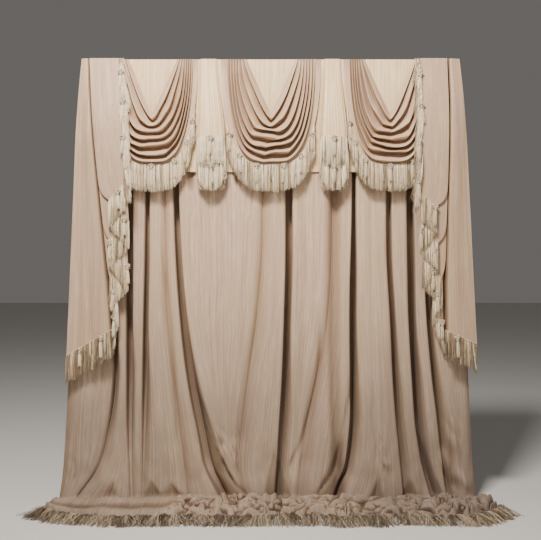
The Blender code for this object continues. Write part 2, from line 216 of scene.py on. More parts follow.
def silk(name, shade, body, light, depth=1.0):
    """Watered silk: a fine cross rib pressed into long thin figures like wood grain.

    depth is how strongly the figures show."""
    n = Nodes(name)
    parts = n.node("ShaderNodeSeparateXYZ", Vector=n.attribute("cloth", "Vector"))
    u, v, seed = parts.outputs
    grain = {}
    for key, (across, along, shift, detail, roughness) in SILK_GRAINS.items():
        place = n.vector(n.times(u, across), n.times(v, along), n.plus(seed, shift))
        grain[key] = n.noise(place, 1.0, detail, roughness)
    turns = n.plus(n.times(grain["drift"], DRIFT_TURN), n.times(grain["fine drift"], FINE_DRIFT_TURN))
    figure = n.scaled(n.math("SINE", n.plus(turns, n.times(u, FIGURE_TURN))), 0.5, 0.5)
    figure = n.times(n.math("POWER", figure, FIGURE_POWER), grain["patches"])
    flames = n.times(n.math("SUBTRACT", grain["flames"], FLAME_FLOOR), FLAME_GAIN)
    flames = n.times(n.math("MINIMUM", n.math("MAXIMUM", flames, 0.0), 1.0), grain["streaks"])
    tone = n.plus(n.times(figure, FIGURE_SHARE), n.times(grain["streaks"], STREAK_SHARE))
    tone = n.plus(tone, n.times(flames, FLAME_SHARE))
    tone = n.scaled(n.math("SUBTRACT", tone, MIDDLE_TONE), depth, MIDDLE_TONE)
    # darkening of the colour, and painted shade in folds, both multiplied into the colour
    wear, deep = n.attribute("wear"), n.attribute("deep")
    left = []
    for darkening_base, painted_shade, warm in DARKENING_AND_PAINTED_SHADE:
        kept = n.times(n.math("POWER", darkening_base, wear), n.math("POWER", painted_shade, deep))
        left.append(n.times(kept, n.scaled(grain["warmth"], warm, 1.0 - warm / 2)))
    darkened = n.node("ShaderNodeVectorMath")
    darkened.operation = "MULTIPLY"
    clean = n.ramp(tone, (SHADE_AT, shade), (BODY_AT, body), (LIGHT_AT, light))
    roughness = n.scaled(wear, ROUGHNESS_OF_DARKENING, n.scaled(tone, ROUGHNESS_OF_TONE, SILK_ROUGHNESS))
    n.surface(Base_Color=n.result(darkened, clean, n.vector(*left)), Roughness=roughness,
              Specular_IOR_Level=0.36, Sheen_Weight=0.05, Sheen_Roughness=0.45)
    rib = n.math("SINE", n.times(v, 2.0 * math.pi / RIB_PITCH))
    n.bump(n.plus(n.times(rib, RIB_SHARE), grain["weft"]), 0.16, 0.0006)
    return n.material


def yarn(name, shade, body, light, roughness=0.55):
    """Twisted silk strands, each with a tone of its own."""
    n = Nodes(name)
    tone = n.attribute("tone")
    twist = n.noise(n.node("ShaderNodeTexCoord").outputs["Object"], 260.0)
    value = n.plus(n.times(tone, 0.8), n.times(twist, 0.35))
    n.surface(Base_Color=n.ramp(value, (0.05, shade), (0.55, body), (1.0, light)),
              Roughness=n.scaled(tone, -0.12, roughness), Specular_IOR_Level=0.45, Sheen_Weight=0.15)
    n.bump(twist, 0.3, 0.0008)
    return n.material


SILK = silk("watered silk", (0.47, 0.305, 0.195), (0.63, 0.45, 0.31), (0.8, 0.62, 0.455))
PALE = silk("pale watered silk", (0.68, 0.46, 0.26), (0.86, 0.63, 0.375), (0.95, 0.75, 0.5), 1.6)
IVORY = yarn("ivory fringe", (0.11, 0.065, 0.032), (0.74, 0.565, 0.355), (0.99, 0.88, 0.665))
STRAW = yarn("straw fringe", (0.04, 0.026, 0.015), (0.235, 0.17, 0.105), (0.76, 0.65, 0.48))
TUFT = yarn("tuft", (0.26, 0.19, 0.12), (0.6, 0.48, 0.35), (0.84, 0.74, 0.6), 0.7)


# Meshes
def add_object(name, data):
    made = bpy.data.objects.new(name, data)
    bpy.context.scene.collection.objects.link(made)
    return made


def add_mesh(name, points, faces, material, node, **attributes):
    """A smooth mesh from arrays of points and of faces with the same number of corners."""
    mesh = bpy.data.meshes.new(name)
    points = np.asarray(points, np.float32).reshape(-1, 3)
    faces = np.asarray(faces, np.int32)
    corners = faces.shape[1]
    mesh.vertices.add(len(points))
    mesh.vertices.foreach_set("co", points.ravel())
    mesh.loops.add(faces.size)
    mesh.loops.foreach_set("vertex_index", faces.ravel())
    mesh.polygons.add(len(faces))
    mesh.polygons.foreach_set("loop_start", np.arange(len(faces), dtype=np.int32) * corners)
    mesh.update(calc_edges=True)
    mesh.validate()
    mesh.shade_smooth()
    for key, values in attributes.items():
        values = np.asarray(values, np.float32)
        kind = "FLOAT_VECTOR" if values.ndim == 2 else "FLOAT"
        layer = mesh.attributes.new(key, kind, "POINT")
        layer.data.foreach_set("vector" if values.ndim == 2 else "value", values.ravel())
    mesh.materials.append(material)
    made = add_object(name, mesh)
    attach(made, "root")
    if node:
        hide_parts(node)
    return made


def shares(count):
    return np.linspace(0.0, 1.0, count)


def grid_faces(rows, columns):
    at = np.arange(rows * columns).reshape(rows, columns)
    return np.stack([at[:-1, :-1], at[1:, :-1], at[1:, 1:], at[:-1, 1:]], axis=-1).reshape(-1, 4)


def add_cloth(name, node, grid, material, seed, wear=0.0, deep=0.0, turned=False):
    """A sheet from a grid of points, with its place on the cloth in metres for the weave.

    darkening is how much darker each point's colour is made, deep how much painted shade it gets
    where it lies in a fold. A turned sheet has its warp along the grid's rows."""
    rows, columns = grid.shape[:2]
    across = np.linalg.norm(np.diff(grid, axis=1), axis=2).mean(axis=0)
    down = np.linalg.norm(np.diff(grid, axis=0), axis=2).mean(axis=1)
    u = np.concatenate([[0.0], np.cumsum(across)])
    v = np.concatenate([[0.0], np.cumsum(down)])
    place = np.stack(np.broadcast_arrays(u, v[:, None], seed * 3.7), axis=-1)
    if turned:
        place = place[..., [1, 0, 2]]
    return add_mesh(name, grid, grid_faces(rows, columns), material, node,
                    cloth=place.reshape(-1, 3), wear=np.broadcast_to(wear, (rows, columns)).ravel(),
                    deep=np.broadcast_to(deep, (rows, columns)).ravel())


def add_strands(name, paths, radii, tones, material, node=None, sides=3):
    """Thin tubes along paths, an array of strands by points by x, y, z."""
    strands, points = paths.shape[:2]
    run = unit(np.gradient(paths, axis=1))
    guide = np.where(np.abs(run[..., 1:2]) < 0.8, (0.0, 1.0, 0.0), (1.0, 0.0, 0.0))
    side = unit(np.cross(run, guide))
    face = np.cross(run, side)
    turn = np.arange(sides) * 2.0 * math.pi / sides
    ring = side[:, :, None] * np.cos(turn)[:, None] + face[:, :, None] * np.sin(turn)[:, None]
    surface = paths[:, :, None] + ring * np.broadcast_to(radii, (strands, points))[:, :, None, None]
    at = np.arange(strands * points * sides).reshape(strands, points, sides)
    around = np.roll(at, -1, axis=2)
    faces = np.stack([at[:, :-1], at[:, 1:], around[:, 1:], around[:, :-1]], axis=-1).reshape(-1, 4)
    tone = np.broadcast_to(tones[:, None, None], (strands, points, sides)).ravel()
    return add_mesh(name, surface, faces, material, node, tone=tone)


def resample(line, count):
    """count points evenly along a line of points, with each one's direction."""
    line = np.asarray(line, float)
    length = np.concatenate([[0.0], np.cumsum(np.linalg.norm(np.diff(line, axis=0), axis=1))])
    at = (np.arange(count) + 0.5) / count * length[-1]
    points = np.stack([np.interp(at, length, line[:, k]) for k in range(3)], axis=1)
    run = unit(np.gradient(points, axis=0))
    return points, run, at


def line_length(line):
    return float(np.linalg.norm(np.diff(line, axis=0), axis=1).sum())


# Fringe
STRANDS = 1360  # in a metre of fringe
CLUMP, CLUMP_DRIFT = 0.0095, 0.04  # width of a lock of strands, and way along which it varies
STRAND_RADII = 0.0014 * np.array((1.0, 1.0, 0.9, 0.3))
STRAND_WAVE = 0.0018
# tone steps: painted shade on strands further back, then the random tone of each lock and strand
LAYER_PAINTED_SHADE, TONE_OF_LOCK, TONE_OF_STRAND = 0.45, 0.34, 0.2
BRAID_RADIUS, BRAID_TURN, BRAID_STEP = 0.0042, 0.011, 0.0055
TUFT_PITCH = 0.14  # between tufts along a swag's heading
TUFT_STEPS = 20  # points of a heading for each tuft, to choose its place from
TUFT_FROM_LINE = (0.0, -0.01, -0.004)
PETALS, PETAL_REACH = 64, (0.015, 0.026)
PETAL_RADII = (0.002, 0.0029, 0.0026, 0.0009)
TASSEL_STRANDS, TASSEL_DROP, TASSEL_HALF = 30, (0.1, 0.13), 0.0092
TASSEL_RADII = (0.0015, 0.0017, 0.0017, 0.0004)
TASSEL_OUT, TASSEL_DOWN = 0.012, 0.016  # from the tuft to the top of its tassel
COLLAR_DOWN, COLLAR_LENGTH = 0.012, 0.024
COLLAR_RADII = (0.003, 0.0085, 0.0095, 0.0075, 0.0045)


def add_fringe(node, line, seed, per_metre=STRANDS, lean=0.0, fan=0.02, drop=FRINGE_DROP,
               depth=0.014, uneven=0.022, tone=0.46, spread=0.0, solid=True):
    """Strands hanging from a line, in fine locks of their own tone, with uneven ends.

    lean is their slope to one side and fan how far locks differ in it, depth the fringe's
    thickness, uneven how far locks differ in length, spread how far roots stray sideways, and
    solid says whether the fringe stands for a solid's node."""
    random = np.random.default_rng(seed)
    count = max(12, int(line_length(line) * per_metre))
    roots, _, along = resample(line, count)
    roots[:, 0] += random.uniform(-spread, spread, count)
    clump = np.floor(along / CLUMP + 0.5 * noise(along / CLUMP_DRIFT, 0.0, seed))
    clump = (clump - clump.min()).astype(int)
    mine = random.normal(0.0, 1.0, (clump.max() + 2, 3))[clump]
    length = drop * (1.0 + uneven * mine[:, 2] + random.normal(0.0, 0.012, count))
    aside = lean + fan * mine[:, 0] + random.normal(0.0, 0.016, count)
    layer = clamp(0.5 + 0.28 * mine[:, 1] + random.uniform(-0.35, 0.35, count))
    out = 0.03 * mine[:, 1] + random.normal(0.0, 0.015, count) - 0.03 * layer
    wave = random.uniform(0.0, 2.0 * math.pi, count)
    points = len(STRAND_RADII)
    paths = np.zeros((count, points, 3))
    for k, t in enumerate(shares(points)):
        thick = depth * layer * min(1.0, 0.35 + 1.6 * t)
        paths[:, k, 0] = roots[:, 0] + aside * length * t + STRAND_WAVE * np.sin(5.0 * t + wave)
        paths[:, k, 1] = roots[:, 1] - thick + out * length * t ** 1.3
        paths[:, k, 2] = roots[:, 2] - length * t
    # strands further back are painted darker, as painted shade
    tones = tone + LAYER_PAINTED_SHADE * (layer - 0.5) + TONE_OF_LOCK * mine[:, 0]
    tones = clamp(tones + random.normal(0.0, TONE_OF_STRAND, count))
    return add_strands(node.replace("fringe", "strands"), paths, STRAND_RADII, tones, IVORY,
                       node if solid else None)


def add_heading(name, line, seed, material=IVORY):
    """The braid that the strands are sewn to: two cords wound round each other."""
    count = max(12, int(line_length(line) / BRAID_STEP))
    points, run, along = resample(line, count)
    turn = along / BRAID_TURN * 2.0 * math.pi
    side = unit(np.cross(run, (0.0, 1.0, 0.0)))
    face = np.cross(run, side)
    paths = []
    for phase in (0.0, math.pi):
        twist = side * np.cos(turn + phase)[:, None] + face * np.sin(turn + phase)[:, None]
        paths.append(points + twist * BRAID_RADIUS * 0.55)
    random = np.random.default_rng(seed)
    return add_strands(name, np.array(paths), BRAID_RADIUS * 0.75, random.uniform(0.35, 0.6, 2),
                       material, sides=5)


def petal_paths(places, random):
    """Curved petals on the front half of a ball at each place, the foremost painted lightest as painted
    light.
    """
    t = shares(len(PETAL_RADII))
    for place in places:
        for _ in range(PETALS):
            around = random.uniform(0.0, 2.0 * math.pi)
            lift = random.uniform(0.02, 1.0)
            flat = math.sqrt(1.0 - lift ** 2)
            aim = np.array((math.cos(around) * flat, -lift * 0.7, math.sin(around) * flat))
            reach = random.uniform(*PETAL_REACH)
            curl = np.outer(t ** 2, (0.0, 0.0, -0.005))
            path = place + np.outer(np.sin(t * 1.5), aim) * reach + curl
            # the more a petal points forward, the lighter it is painted: painted light
            yield path, random.uniform(0.15, 0.6) + 0.4 * step_up(lift, 0.3, 0.8)


def tassel_paths(places, random):
    """Strands of a tassel below each place, drawn in under its collar."""
    t = shares(len(TASSEL_RADII))
    neck = 0.35 + 0.55 * smooth((t - 0.12) / 0.2) + 0.3 * t
    for place in places:
        swing = random.normal(0.0, 0.05)
        drop = random.uniform(*TASSEL_DROP)
        for k in range(TASSEL_STRANDS):
            around = k * 2.4
            wide = TASSEL_HALF * math.sqrt((k + 0.5) / TASSEL_STRANDS)
            x = place[0] + wide * math.cos(around) * neck + swing * drop * t
            y = place[1] - TASSEL_OUT + wide * math.sin(around) * neck
            z = place[2] - TASSEL_DOWN - drop * t * random.uniform(0.92, 1.03)
            yield np.stack([x, y, z], axis=1), random.uniform(0.6, 1.0)


def collar_paths(places):
    """The bound head of each tassel."""
    t = shares(len(COLLAR_RADII))
    for place in places:
        x, y = np.full_like(t, place[0]), np.full_like(t, place[1] - TASSEL_OUT)
        yield np.stack([x, y, place[2] - COLLAR_DOWN - COLLAR_LENGTH * t], axis=1), 0.25


def add_tufts(name, places, seed):
    """Round tufts, each with a small tassel below it."""
    random = np.random.default_rng(seed)
    made = []
    for ending, drawn, radii, material, sides in (
            ("", petal_paths(places, random), PETAL_RADII, TUFT, 3),
            ("_tassels", tassel_paths(places, random), TASSEL_RADII, IVORY, 3),
            ("_collars", collar_paths(places), COLLAR_RADII, TUFT, 10)):
        paths, tones = zip(*drawn)
        made.append(add_strands(name + ending, np.array(paths), radii, np.array(tones), material,
                                sides=sides))
    return made


def spaced_places(line, pitch, seed):
    """Places along a heading for tufts, a little in front of it."""
    count = max(1, int(line_length(line) / pitch))
    points = resample(line, count * TUFT_STEPS)[0]
    wobble = noise(np.arange(count) * 3.1, 0.5, seed) * 4
    pick = ((np.arange(count) + 0.5) * TUFT_STEPS + wobble).astype(int)
    return points[np.clip(pick, 0, len(points) - 1)] + TUFT_FROM_LINE


# Curtain
LEVELS = np.array((0.0, -0.62, -0.96, -1.37, -1.78, -2.18, -2.52, -2.8, -2.97))
WALL_FOOT = LEVELS[-1]
CREASES = np.array((
    # depth, gap, gap low down, share of the depth left at the foot, x at each of LEVELS
    (0.020, 0.002, 0.004, 1.0, -1.200, -1.230, -1.262, -1.310, -1.355, -1.380, -1.395, -1.405, -1.420),
    (0.060, 0.006, 0.004, 0.12, -1.070, -1.078, -1.080, -1.073, -1.066, -1.059, -1.100, -1.182, -1.298),
    (0.105, 0.016, 0.014, 0.22, -0.960, -0.962, -0.964, -0.964, -0.964, -0.961, -0.957, -0.943, -0.930),
    (0.085, 0.004, 0.010, 0.20, -0.840, -0.842, -0.843, -0.846, -0.852, -0.855, -0.858, -0.858, -0.856),
    (0.024, 0.000, 0.000, 1.0, -0.735, -0.730, -0.725, -0.721, -0.706, -0.660, -0.614, -0.569, -0.548),
    (0.115, 0.010, 0.028, 0.85, -0.640, -0.650, -0.645, -0.627, -0.592, -0.539, -0.470, -0.402, -0.310),
    (0.028, 0.000, 0.000, 0.6, -0.060, -0.054, -0.052, -0.060, -0.097, -0.155, -0.195, -0.210, -0.170),
    (0.115, 0.018, 0.014, 0.65, 0.120, 0.124, 0.126, 0.126, 0.115, 0.099, 0.077, 0.058, 0.044),
    (0.020, 0.000, 0.000, 0.8, 0.430, 0.428, 0.426, 0.419, 0.389, 0.313, 0.240, 0.200, 0.180),
    (0.125, 0.018, 0.014, 0.60, 0.570, 0.572, 0.572, 0.569, 0.564, 0.564, 0.555, 0.507, 0.439),
    (0.080, 0.010, 0.010, 0.55, 0.805, 0.808, 0.810, 0.814, 0.837, 0.853, 0.875, 0.899, 0.909),
    (0.120, 0.022, 0.020, 0.60, 0.955, 0.957, 0.959, 0.964, 0.970, 0.990, 1.012, 1.058, 1.104),
    (0.075, 0.014, 0.008, 0.55, 1.050, 1.056, 1.062, 1.073, 1.087, 1.119, 1.155, 1.180, 1.202),
    (0.020, 0.002, 0.004, 1.0, 1.200, 1.230, 1.262, 1.305, 1.335, 1.352, 1.362, 1.372, 1.380),
))
CREST_Y = (GAP + CLOTH / 2, 0.01, 0.018, 0.016, 0.008, -0.004, -0.022, -0.048, -0.085)
CREASE_SHARE = (0.35, 0.75, 0.95, 1.0, 1.0, 1.0, 1.0, 0.95, 0.65)
STEEP_REACH, EASY_REACH = 0.045, 0.11  # left and right banks of a crease without a gap
SLOT_REACH, SLOT_REACH_LOW = 0.026, 0.085  # banks of a slot, and its right one low down
SLOT_DEPTH, SLOT_DEEPER = 0.05, 1.18  # a crease deeper than this is a slot, and cut deeper still
UNDERCUT = 0.2  # how far a slot's banks overhang it
CUSP_POWER, CUSP_POWER_LOW, CUSP_POWER_SOFT = 2.6, 1.6, 1.35
SHUT_AT_TOP = 9  # this crease opens below the swags only
LEFT_GAP, LEFT_BANK, RIGHT_BANK, RIGHT_GAP = 0, 1, 3, 4  # parts of a panel; 2 is its middle
BANK_COLUMNS = 8
GAP_COLUMNS = 2
PANEL_STEP = 0.0115
# Depths below the top edge between which something grows or fades
TOP_EASE = 0.5
GAPS_WIDEN, SHUT_OPENS, BANKS_SPREAD = (1.0, 2.6), (0.95, 1.65), (1.7, 2.7)
CREASES_FADE, UNDERCUT_FADES, FOOT_STIRS = (2.0, 2.8), (1.6, 2.4), (2.2, 2.9)
# Ripples of the hanging cloth, all over and near its foot: height, width, length, seed
RIPPLES = ((0.0055, 0.085, 1.1, 1), (0.0024, 0.035, 0.4, 2))
FOOT_RIPPLES = ((0.009, 0.07, 0.16, 3), (0.004, 0.03, 0.07, 4))
# Small crumples in the hanging cloth: x, z, half width, half height, depth, grain
CRUMPLES = (
    (-0.335, -2.68, 0.045, 0.14, 0.022, 0.034),
    (-0.235, -2.65, 0.03, 0.14, 0.018, 0.03),
    (0.735, -2.6, 0.03, 0.06, 0.022, 0.03),
    (0.77, -2.76, 0.045, 0.08, 0.022, 0.034),
    (1.215, -2.68, 0.055, 0.18, 0.05, 0.07),
    (1.26, -2.88, 0.075, 0.08, 0.044, 0.06),
    (-1.33, -2.78, 0.04, 0.06, 0.022, 0.04),
)
# Hollows that open at the foot, where the cloth stands off the floor: apex x, z, then the foot's x
TENTS = (
    (-1.047, -2.846, -1.114, -1.034),
    (-0.806, -2.846, -0.853, -0.719),
    (-0.672, -2.872, -0.733, -0.565),
    (-0.452, -2.471, -0.345, -0.181),
    (0.03, -2.64, -0.057, 0.14),
    (0.498, -2.571, 0.284, 0.5),
    (0.733, -2.826, 0.652, 0.773),
    (0.947, -2.839, 0.873, 1.0),
    (1.0, -2.504, 1.07, 1.17),
)
# depth of a tent, and the painted shade inside it
TENT_DEPTH, TENT_PAINTED_SHADE = 0.036, 0.46
# Smaller troughs, listed one by one: depth, half width, then x, z points
SMALL_FOLDS = (
    (0.018, 0.016, ((-0.503, -2.268), (-0.373, -2.617), (-0.298, -2.802), (-0.174, -2.952))),
    (0.018, 0.014, ((0.544, -2.268), (0.482, -2.576), (0.407, -2.836), (0.284, -2.952))),
    (0.016, 0.02, ((0.345, -1.885), (0.321, -2.193), (0.253, -2.467), (0.192, -2.651), (0.113, -2.8))),
    (0.014, 0.018, ((-1.057, -2.132), (-1.098, -2.467), (-1.19, -2.809), (-1.303, -2.985))),
    (0.011, 0.012, ((-0.742, -1.277), (-0.708, -1.584), (-0.67, -2.043), (-0.633, -2.494), (-0.585, -2.939))),
    (0.006, 0.02, ((-0.42, -0.8), (-0.41, -1.5), (-0.36, -2.2), (-0.28, -2.9))),
    (0.005, 0.022, ((-0.24, -0.8), (-0.25, -1.6), (-0.3, -2.4), (-0.33, -2.95))),
    (0.006, 0.016, ((0.24, -0.8), (0.24, -1.6), (0.21, -2.3), (0.12, -2.95))),
    (0.006, 0.018, ((0.69, -0.8), (0.69, -1.6), (0.71, -2.4), (0.72, -2.95))),
    (0.036, 0.034, ((0.444, -0.76), (0.444, -1.2), (0.438, -2.2), (0.455, -2.75))),
)
TUCKS = ((-0.545, -0.925), (-0.232, -0.885))  # short tucks under the swags: x, height of the end
# length and depth of a tuck, and the painted shade in it
TUCK_LENGTH, TUCK_DEPTH, TUCK_PAINTED_SHADE = 0.16, 0.02, 0.8
WALL_ROWS = 124
PUDDLE_ROWS = 76
HEM_Y = -0.345
HEM_HALF = 1.5
HEM_MIDDLE = 0.01
HEM_CORNER_Y = -0.15
ROLL_ENDS = (-0.7, -0.58)  # left of this the hem lies as a smooth roll
PUDDLE = (
    # way   low    crumple
    (0.0, 0.026, 0.0),
    (0.1, 0.018, 0.04),
    (0.28, 0.008, 0.046),
    (0.5, 0.004, 0.044),
    (0.72, 0.003, 0.042),
    (0.88, 0.002, 0.032),
    (0.96, 0.0, 0.004),
    (1.0, 0.0, 0.0),
)


def bank(near, power=CUSP_POWER):
    """1 in a crease, 0 where its bank begins: the cloth turns in ever more steeply."""
    return 1.0 - (1.0 - near ** power) ** (1.0 / power)


def hem_line(share):
    x = HEM_MIDDLE + lerp(-HEM_HALF, HEM_HALF, share)
    side = np.abs(2.0 * share - 1.0)
    y = lerp(HEM_Y, HEM_CORNER_Y, side ** 14)
    return x, y + 0.012 * np.sin(9.0 * x) + 0.008 * np.sin(23.0 * x + 1.0)


def curtain_columns():
    """Columns across the curtain: panel, part of the panel, share of that part."""
    columns = []
    ease = 1.0 - np.cos(np.pi / 2 * np.arange(BANK_COLUMNS) / BANK_COLUMNS)
    gap = np.arange(GAP_COLUMNS) / GAP_COLUMNS
    for k, width in enumerate(np.diff(CREASES[:, 8])):
        middle = int(width / PANEL_STEP)
        parts = (gap, ease, np.arange(middle) / middle, 1.0 - ease[::-1] - ease[1], gap)
        columns += [(k, part, f) for part, steps in enumerate(parts) for f in steps]
    columns.append((len(CREASES) - 2, RIGHT_GAP, 1.0))
    panel, part, share = np.array(columns).T
    return panel.astype(int), part.astype(int), clamp(share)


def curtain_wall():
    """The hanging cloth: x, y and z, x without the undercut, and the painted shade in its creases."""
    k, part, f = curtain_columns()
    heights = np.linspace(0.0, WALL_FOOT, WALL_ROWS)
    down = -heights[:, None]
    begun = smooth(down / TOP_EASE)
    up = LEVELS[::-1]
    crease_x = np.stack([curve_through(up, row[4:][::-1], heights) for row in CREASES], axis=1)
    crest = curve_through(up, CREST_Y[::-1], heights)[:, None]
    share = curve_through(up, CREASE_SHARE[::-1], heights)[:, None]
    left, right = crease_x[:, k], crease_x[:, k + 1]
    half = (right - left) / 2
    gap = lerp(CREASES[:, 1], CREASES[:, 2], step_up(down, *GAPS_WIDEN)) / 2 * begun
    gap[:, SHUT_AT_TOP] *= step_up(down, *SHUT_OPENS)[:, 0]
    left_gap, right_gap = np.minimum(gap[:, k], half / 2), np.minimum(gap[:, k + 1], half / 2)
    slots = CREASES[:, 0] > SLOT_DEPTH
    spread = step_up(down, *BANKS_SPREAD)
    left_reach = np.where(slots[k], lerp(SLOT_REACH, SLOT_REACH_LOW, spread), EASY_REACH)
    left_reach = np.minimum(left_reach, half - left_gap)
    right_reach = np.minimum(np.where(slots, SLOT_REACH, STEEP_REACH)[k + 1], half - right_gap)
    stops = np.stack([left, left + left_gap, left + left_gap + left_reach,
                      right - right_gap - right_reach, right - right_gap, right])
    at = np.arange(len(k))
    flat_x = lerp(stops[part, :, at].T, stops[part + 1, :, at].T, f)
    near_left = np.select([part == LEFT_GAP, part == LEFT_BANK], [1.0, 1.0 - f], 0.0)
    near_right = np.select([part == RIGHT_GAP, part == RIGHT_BANK], [1.0, f], 0.0)
    kept = lerp(1.0, CREASES[:, 3], step_up(down, *CREASES_FADE))
    depth = CREASES[:, 0] * np.where(slots, SLOT_DEEPER, 1.0) * kept
    power = np.where(slots, lerp(CUSP_POWER, CUSP_POWER_LOW, spread), CUSP_POWER_SOFT)
    at_left = depth[:, k] * bank(near_left, power[:, k])
    at_right = depth[:, k + 1] * bank(near_right, np.where(slots, CUSP_POWER, CUSP_POWER_SOFT)[k + 1])
    y = crest + share * (at_left + at_right)
    over_left = at_left * slots[k] * np.where(part == LEFT_GAP, f, 1.0)
    over_left = over_left * (1.0 - step_up(down, *UNDERCUT_FADES))
    over_right = at_right * slots[k + 1] * np.where(part == RIGHT_GAP, 1.0 - f, 1.0)
    x = flat_x + begun * share * UNDERCUT * (over_left - over_right)
    # painted shade: dark in slots, softer in shallow creases, fainter just below the swags and low down
    slot = smooth(1.25 * np.maximum(near_left ** 1.3 * slots[k], near_right * slots[k + 1]))
    painted_crease_shade = 0.42 * np.maximum(near_left ** 2.2 * ~slots[k], near_right ** 2.2 * ~slots[k + 1])
    kept = np.where(near_left > 0.0, kept[:, k], kept[:, k + 1])
    below_swags = 0.55 + 0.45 * step_up(down, 0.9, 1.6)
    low = step_up(down, *FOOT_STIRS)
    deep = (0.95 * slot * kept * (1.0 - 0.35 * low) * below_swags + painted_crease_shade) * begun
    return x, y, np.broadcast_to(heights[:, None], x.shape), flat_x, deep


def ripples(x, z, rows):
    return sum(height * noise(x / wide, z / tall, seed) for height, wide, tall, seed in rows)


def curtain_relief(x, y, z):
    """y and z with the hanging cloth's small folds, and the painted shade in these."""
    painted_shade = np.zeros(z.shape)
    hang = step_up(-z, 0.02, TOP_EASE)
    for depth, wide, line in SMALL_FOLDS:
        line = np.array(line)
        middle = curve_through(line[::-1, 1], line[::-1, 0], z[:, :1])
        trough = step_up(line[0, 1] + 0.15 - z[:, :1], 0.0, 0.3) * np.exp(-((x - middle) / wide) ** 2)
        y = y + depth * trough
        # painted shade in the deeper small folds
        painted_shade = painted_shade + 16.0 * np.maximum(0.0, depth - 0.008) * trough
    for middle, foot in TUCKS:
        taper = clamp((z - foot) / TUCK_LENGTH)
        tuck = np.exp(-((x - middle) / (0.004 + 0.022 * taper)) ** 2) * smooth(3.0 * taper) * hang
        y = y + TUCK_DEPTH * tuck
        painted_shade = painted_shade + TUCK_PAINTED_SHADE * tuck
    for number, (middle, height, wide, tall, relief, grain) in enumerate(CRUMPLES):
        here = np.exp(-(((x - middle) / wide) ** 2 + ((z - height) / tall) ** 2))
        puffs = np.abs(noise(x / grain, 0.6 * z / grain + 0.8 * x / grain, 200 + number)) ** 0.7
        y = y - relief * here * (1.8 * puffs - 0.6)
        # painted shade in the crumples' hollows
        painted_shade = painted_shade + 0.7 * here * clamp(1.0 - puffs / 0.35)
    for apex_x, apex_z, foot_left, foot_right in TENTS:
        fall = clamp((apex_z - z) / (apex_z - WALL_FOOT))
        left, right = lerp(apex_x, foot_left, fall), lerp(apex_x, foot_right, fall)
        across = clamp((x - left) / np.maximum(0.004, right - left))
        tent = np.sin(np.pi * across) ** 0.8 * fall ** 0.6
        y = y + TENT_DEPTH * tent
        painted_shade = painted_shade + TENT_PAINTED_SHADE * tent
    y = y + hang * ripples(x, z, RIPPLES)
    y = y + step_up(-z, *FOOT_STIRS) * ripples(x, z, FOOT_RIPPLES)
    z = z + step_up(-z, 2.8, 2.97) * 0.022 * noise(x / 0.14, 0.0, 19)
    return y, z, painted_shade


def curtain_puddle(foot, foot_x, foot_painted_shade):
    """The cloth heaped on the floor, from the hanging part's foot to the hem, and its painted shade."""
    way = np.linspace(0.0, 1.0, PUDDLE_ROWS + 1)[1:, None]
    ways, lows, highs = np.array(PUDDLE).T
    hem_x, hem_y = hem_line((foot_x - foot_x[0]) / (foot_x[-1] - foot_x[0]))
    x = lerp(foot[:, 0], hem_x, step_up(way, 0.0, 0.3) * 0.3 + way * 0.7)
    y = lerp(np.minimum(foot[:, 1], -0.03), hem_y, way)
    heap, crevice = puddle_crumple(x, way)
    rise = curve_through(ways, lows, way) + curve_through(ways, highs, way) * heap
    settle = (1.0 - step_up(way, 0.0, 0.12)) * (foot[:, 2] + DROP)
    z = -DROP + CLOTH / 2 + np.maximum(rise, 0.0) + settle * 0.3
    stir = np.sin(np.pi * way) * step_up(x, -0.8, -0.5)
    x = x + stir * 0.012 * noise(x / 0.05, way * 5.0, 15)
    y = y + stir * 0.01 * noise(x / 0.05, way * 5.0, 16)
    # painted shade in the heap's crevices and along the foot of the hanging cloth
    valleys = 2.7 * crevice * np.sin(np.pi * way) ** 0.4
    return np.stack([x, y, z], axis=-1), valleys + (0.3 + 0.5 * foot_painted_shade) * (1.0 - smooth(way * 9.0))


def curtain_wear(x, height):
    """How much darker the curtain's colour is made: most at its foot, its sides and low on the right, in
    blotches.
    """
    darkened = 0.1 + 0.9 * step_up(height, 1.2, 2.9) + 0.25 * step_up(height, 2.8, 2.96)
    blotch = 0.24 * noise(x / 0.2, -height / 0.3, 18) * step_up(height, 1.6, 2.8)
    sides = 0.2 * step_up(np.abs(x), 0.45, 1.1)
    right = 0.35 * step_up(x, 0.4, 1.2) * step_up(height, 2.0, 2.8)
    return np.maximum(0.0, darkened + blotch + sides + right)


def curtain_grid():
    """Points of the curtain, how much darker the cloth's colour is made at each, and its painted shade."""
    x, y, z, flat_x, deep = curtain_wall()
    y, z, painted_fold_shade = curtain_relief(flat_x, y, z)
    y = np.where(z < -PELMET_DROP, y, np.maximum(y, GAP + CLOTH / 2))
    wall = np.stack([x, y, z], axis=-1)
    floor, painted_hollow_shade = curtain_puddle(wall[-1], flat_x[-1], deep[-1])
    grid = np.concatenate([wall, floor])
    painted_shade = np.concatenate([painted_fold_shade + deep, painted_hollow_shade])
    return grid, curtain_wear(grid[..., 0], -grid[..., 2]), np.minimum(2.0, painted_shade)


